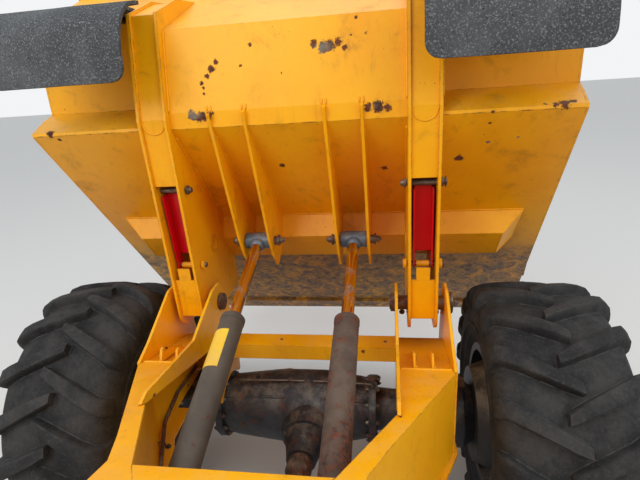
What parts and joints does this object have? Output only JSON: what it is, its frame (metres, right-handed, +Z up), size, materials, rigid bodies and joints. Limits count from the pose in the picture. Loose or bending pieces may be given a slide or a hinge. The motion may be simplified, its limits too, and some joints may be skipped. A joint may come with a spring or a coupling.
{
  "type": "site dumper",
  "caption": "Articulated straight-tip site dumper with its skip tipped forward, fold-down roll bar, opening hood, hydraulic rams and chevron-lug tyres",
  "frame": {"origin": "on the ground, under the middle of the machine's box", "axes": "+X to the driver's right, +Y forward toward the skip, +Z up"},
  "size_m": [2.446, 4.7646, 2.9599],
  "materials": {
    "yellow": "worn amber-yellow gloss paint",
    "red": "gloss red paint",
    "grey": "dark grey paint",
    "steel": "bare and dulled steel",
    "chrome": "polished rod",
    "axle": "blue-black cast iron with rust",
    "rubber": "charcoal rubber sheet with pale specks",
    "tyre": "worn black rubber",
    "rim": "pale grey paint",
    "engine": "plain block",
    "seat": "black vinyl",
    "plastic": "black plastic"
  },
  "bodies": {
    "front": {"front_side_frames": "yellow", "front_cross_members": "yellow", "hinge_pins": "steel", "joint_pins": "steel", "front_axle": "axle", "front_propshaft": "axle", "hydraulic_pipes": "steel"},
    "skip": {"skip_floor": "yellow", "skip_rear_wall": "yellow", "skip_wheel_recesses": "yellow", "skip_sides": "yellow", "skip_rim": "yellow", "skip_lip": "yellow", "skip_beam": "yellow", "skip_arms": "yellow", "skip_ribs": "yellow", "skip_pins": "steel", "skip_flaps": "rubber"},
    "skip_prop_left": {"skip_prop_left": "red"},
    "skip_prop_right": {"skip_prop_right": "red"},
    "tip_ram_barrel_left": {"tip_ram_barrel_left": "grey"},
    "tip_ram_barrel_right": {"tip_ram_barrel_right": "grey"},
    "tip_ram_rod_left": {"tip_ram_rod_left": "chrome"},
    "tip_ram_rod_right": {"tip_ram_rod_right": "chrome"},
    "front_wheel_left": {"front_tyre_left": "tyre", "front_wheel_left": "rim"},
    "front_wheel_right": {"front_tyre_right": "tyre", "front_wheel_right": "rim"},
    "rear": {"rear_frame": "yellow", "rear_axle": "axle", "rear_propshaft": "axle", "engine_block": "engine", "side_tanks": "yellow", "platform": "grey", "seat": "seat", "console": "plastic", "rear_mudguards": "yellow", "counterweight": "grey", "lamps": "plastic", "exhaust": "steel", "roll_bar_posts": "grey", "steering_base_pin": "steel"},
    "steering_wheel": {"steering_wheel": "plastic"},
    "engine_hood": {"engine_hood": "yellow"},
    "roll_bar_hoop": {"roll_bar_hoop": "grey"},
    "steering_ram_barrel": {"steering_ram_barrel": "grey"},
    "steering_ram_rod": {"steering_ram_rod": "chrome"},
    "rear_wheel_left": {"rear_tyre_left": "tyre", "rear_wheel_left": "rim"},
    "rear_wheel_right": {"rear_tyre_right": "tyre", "rear_wheel_right": "rim"}
  },
  "joints": [
    {"name": "skip_tip", "type": "hinge", "parent": "front", "child": "skip", "pos_m": [0, 1.22774, 1.125], "axis": [-1, 0, 0], "range_deg": [-80, 0]},
    {"name": "prop_swing_left", "type": "hinge", "parent": "skip", "child": "skip_prop_left", "pos_m": [-0.5, 1.21679, 1.31092], "axis": [1, 0, 0], "range_deg": [0, 95]},
    {"name": "tip_ram_swing_left", "type": "hinge", "parent": "front", "child": "tip_ram_barrel_left", "pos_m": [-0.215, 0.17774, 0.97], "axis": [1, 0, 0], "range_deg": [-1, 5]},
    {"name": "tip_ram_slide_left", "type": "slide", "parent": "tip_ram_barrel_left", "child": "tip_ram_rod_left", "axis": [0, 0.9491, 0.3149], "range_m": [-0.36, 0.005]},
    {"name": "front_wheel_turn_left", "type": "hinge", "parent": "front", "child": "front_wheel_left", "pos_m": [-0.975, 1.19774, 0.585], "axis": [1, 0, 0], "continuous": true},
    {"name": "rear_wheel_turn_left", "type": "hinge", "parent": "rear", "child": "rear_wheel_left", "pos_m": [-0.975, -1.30226, 0.585], "axis": [1, 0, 0], "continuous": true},
    {"name": "prop_swing_right", "type": "hinge", "parent": "skip", "child": "skip_prop_right", "pos_m": [0.5, 1.21679, 1.31092], "axis": [1, 0, 0], "range_deg": [0, 95]},
    {"name": "tip_ram_swing_right", "type": "hinge", "parent": "front", "child": "tip_ram_barrel_right", "pos_m": [0.215, 0.17774, 0.97], "axis": [1, 0, 0], "range_deg": [-1, 5]},
    {"name": "tip_ram_slide_right", "type": "slide", "parent": "tip_ram_barrel_right", "child": "tip_ram_rod_right", "axis": [0, 0.9491, 0.3149], "range_m": [-0.36, 0.005]},
    {"name": "front_wheel_turn_right", "type": "hinge", "parent": "front", "child": "front_wheel_right", "pos_m": [0.975, 1.19774, 0.585], "axis": [1, 0, 0], "continuous": true},
    {"name": "rear_wheel_turn_right", "type": "hinge", "parent": "rear", "child": "rear_wheel_right", "pos_m": [0.975, -1.30226, 0.585], "axis": [1, 0, 0], "continuous": true},
    {"name": "steer", "type": "hinge", "parent": "front", "child": "rear", "pos_m": [0, -0.05226, 0.72], "axis": [0, 0, 1], "range_deg": [-30, 30]},
    {"name": "steering_ram_swing", "type": "hinge", "parent": "rear", "child": "steering_ram_barrel", "pos_m": [0.175, -0.44226, 0.64], "axis": [0, 0, 1], "range_deg": [-14.5, 14.5]},
    {"name": "steering_ram_slide", "type": "slide", "parent": "steering_ram_barrel", "child": "steering_ram_rod", "axis": [0.1946, 0.9809, 0], "range_m": [-0.135, 0.135]},
    {"name": "steering_wheel_turn", "type": "hinge", "parent": "rear", "child": "steering_wheel", "pos_m": [0, -0.45026, 1.543], "axis": [0, -0.4695, 0.8829], "range_deg": [-360, 360]},
    {"name": "hood_lift", "type": "hinge", "parent": "rear", "child": "engine_hood", "pos_m": [0, -2.21626, 0.996], "axis": [1, 0, 0], "range_deg": [0, 60]},
    {"name": "roll_bar_fold", "type": "hinge", "parent": "rear", "child": "roll_bar_hoop", "pos_m": [0, -1.09226, 1.8], "axis": [-1, 0, 0], "range_deg": [-90, 0]}
  ],
  "couplings": [
    {"joint": "tip_ram_swing_left", "follows": "skip_tip", "ratio": -0.03824},
    {"joint": "tip_ram_swing_right", "follows": "skip_tip", "ratio": -0.03824},
    {"joint": "tip_ram_slide_left", "follows": "skip_tip", "m_per_rad": 0.24852},
    {"joint": "tip_ram_slide_right", "follows": "skip_tip", "m_per_rad": 0.24852},
    {"joint": "steering_ram_swing", "follows": "steer", "ratio": -0.455},
    {"joint": "steering_ram_slide", "follows": "steer", "m_per_rad": -0.2447}
  ]
}
